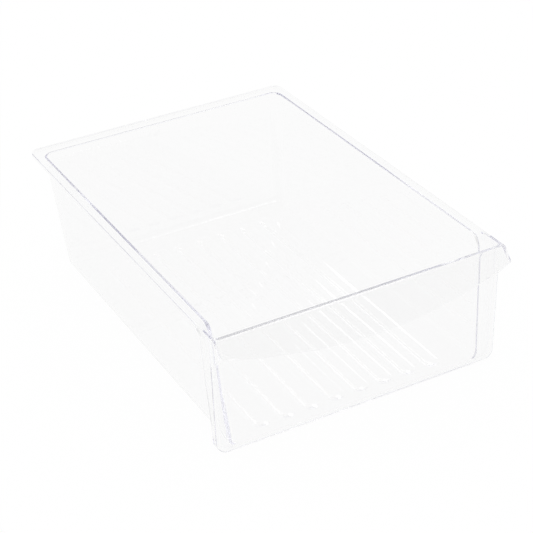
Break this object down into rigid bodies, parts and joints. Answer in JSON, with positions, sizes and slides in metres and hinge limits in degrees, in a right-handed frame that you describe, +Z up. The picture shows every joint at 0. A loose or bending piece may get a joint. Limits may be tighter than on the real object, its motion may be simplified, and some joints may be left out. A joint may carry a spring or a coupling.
{
  "type": "refrigerator meat drawer",
  "caption": "Clear moulded refrigerator meat drawer: a drafted tub with floor ribs, side and rear runner flanges and a wider front with an arched pull lip.",
  "frame": {"origin": "on the underside of the floor, on the middle plane, half way between the front face and the rear rim", "axes": "+X to the drawer's right, +Y to its rear (the way it slides in), +Z up"},
  "size_m": [0.3, 0.4679, 0.13],
  "materials": {
    "clear_plastic": "clear gloss"
  },
  "bodies": {
    "root": {"drawer_tub": "clear_plastic"}
  },
  "joints": []
}
